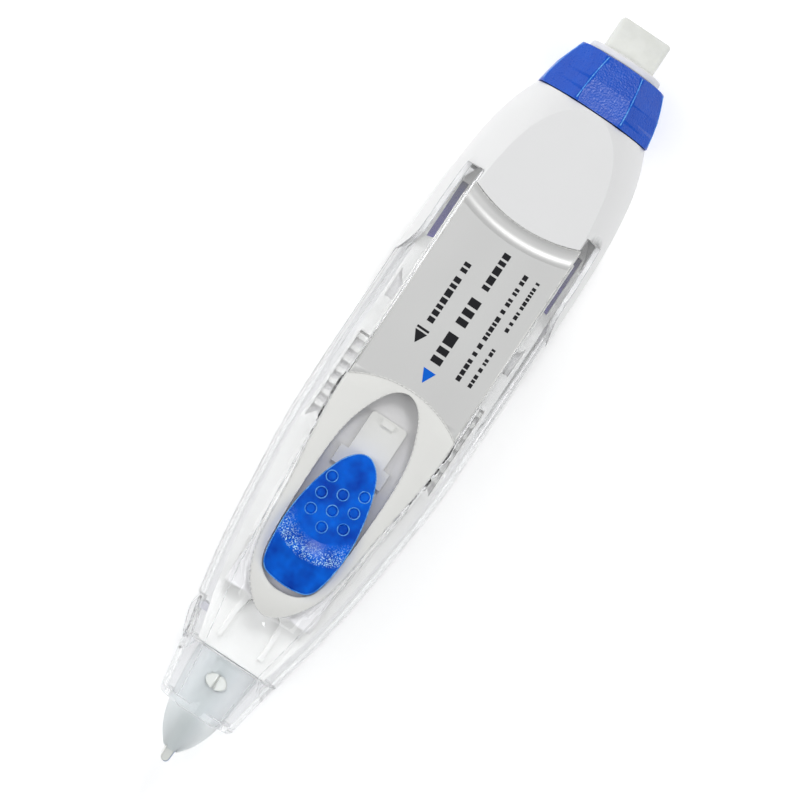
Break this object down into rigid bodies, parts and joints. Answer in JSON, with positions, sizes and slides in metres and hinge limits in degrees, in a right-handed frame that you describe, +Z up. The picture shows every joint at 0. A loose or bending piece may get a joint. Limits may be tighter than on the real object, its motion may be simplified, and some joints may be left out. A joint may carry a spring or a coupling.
{
  "type": "correction tape roller",
  "caption": "Pen-shaped correction tape dispenser with a sliding head in a clear casing and a twist-out eraser at the other end.",
  "frame": {"origin": "under the middle of the pen's length and width, on the flat underside it rests on", "axes": "+X along the pen from the tape tip to the eraser, +Z up out of the label side, +Y across the pen to the side with the snap arm"},
  "size_m": [0.14, 0.0288, 0.0216],
  "materials": {
    "clear_shell": "clear glossy moulded plastic",
    "frosted_cone": "frosted translucent grey-blue",
    "body_white": "satin white moulded plastic",
    "inner_white": "slightly translucent white moulding",
    "bezel_white": "fine matt warm grey-white",
    "label_silver": "satin silver printed panel",
    "tray_grey": "lavender grey moulding",
    "latch_grey": "grey moulding",
    "button_blue": "deep glossy translucent blue",
    "collar_blue": "blue with a finely pebbled gloss",
    "gear_white": "natural acetal",
    "clutch_rubber": "matt black rubber",
    "tape_wound": "dark violet wound tape",
    "tape_white": "white correction film on backing",
    "liner_blue": "pale translucent backing film",
    "tip_plastic": "off-white flexible tip",
    "eraser_vinyl": "matt off-white vinyl eraser"
  },
  "bodies": {
    "casing": {"upper_front_shell": "clear_shell", "lower_front_shell": "clear_shell", "nose_collar": "clear_shell", "latch_pin": "latch_grey", "bezel": "bezel_white", "label_plate": "label_silver", "slide_tray": "tray_grey", "rear_body": "body_white", "tube_bulkhead": "body_white", "eraser_guide_tube": "body_white"},
    "tape_carriage": {"cartridge_base": "inner_white", "cartridge_cover": "inner_white", "slider_plate": "inner_white", "slider_button": "button_blue", "nose_cone": "frosted_cone", "cone_pin": "frosted_cone", "head_blade": "tip_plastic", "tape_run": "tape_white", "return_run": "liner_blue"},
    "supply_reel": {"supply_gear": "gear_white", "clutch_ring": "clutch_rubber", "supply_core": "gear_white", "tape_roll": "tape_wound"},
    "idler": {"idler_gear": "gear_white"},
    "take_up": {"take_up_reel": "gear_white", "liner_roll": "liner_blue"},
    "collar": {"twist_collar": "collar_blue", "screw_sleeve": "gear_white"},
    "eraser_holder": {"eraser_carrier": "gear_white", "eraser": "eraser_vinyl"}
  },
  "joints": [
    {"name": "head_slide", "type": "slide", "parent": "casing", "child": "tape_carriage", "axis": [1, 0, 0], "range_m": [0, 0.0093]},
    {"name": "supply_spin", "type": "hinge", "parent": "tape_carriage", "child": "supply_reel", "pos_m": [0.029, 0, 0.0104], "axis": [0, 0, 1], "continuous": true},
    {"name": "idler_spin", "type": "hinge", "parent": "tape_carriage", "child": "idler", "pos_m": [0.01115, 0, 0.0104], "axis": [0, 0, 1], "continuous": true},
    {"name": "take_up_spin", "type": "hinge", "parent": "tape_carriage", "child": "take_up", "pos_m": [-0.0018, 0, 0.0104], "axis": [0, 0, 1], "continuous": true},
    {"name": "collar_twist", "type": "hinge", "parent": "casing", "child": "collar", "pos_m": [0.058, 0, 0.0104], "axis": [1, 0, 0], "range_deg": [-217, 37]},
    {"name": "eraser_feed", "type": "slide", "parent": "casing", "child": "eraser_holder", "axis": [1, 0, 0], "range_m": [-0.006, 0.001]}
  ],
  "couplings": [
    {"joint": "idler_spin", "follows": "supply_spin", "ratio": -1.4286},
    {"joint": "take_up_spin", "follows": "supply_spin", "ratio": 1.875},
    {"joint": "collar_twist", "follows": "eraser_feed", "rad_per_m": 628.32}
  ]
}
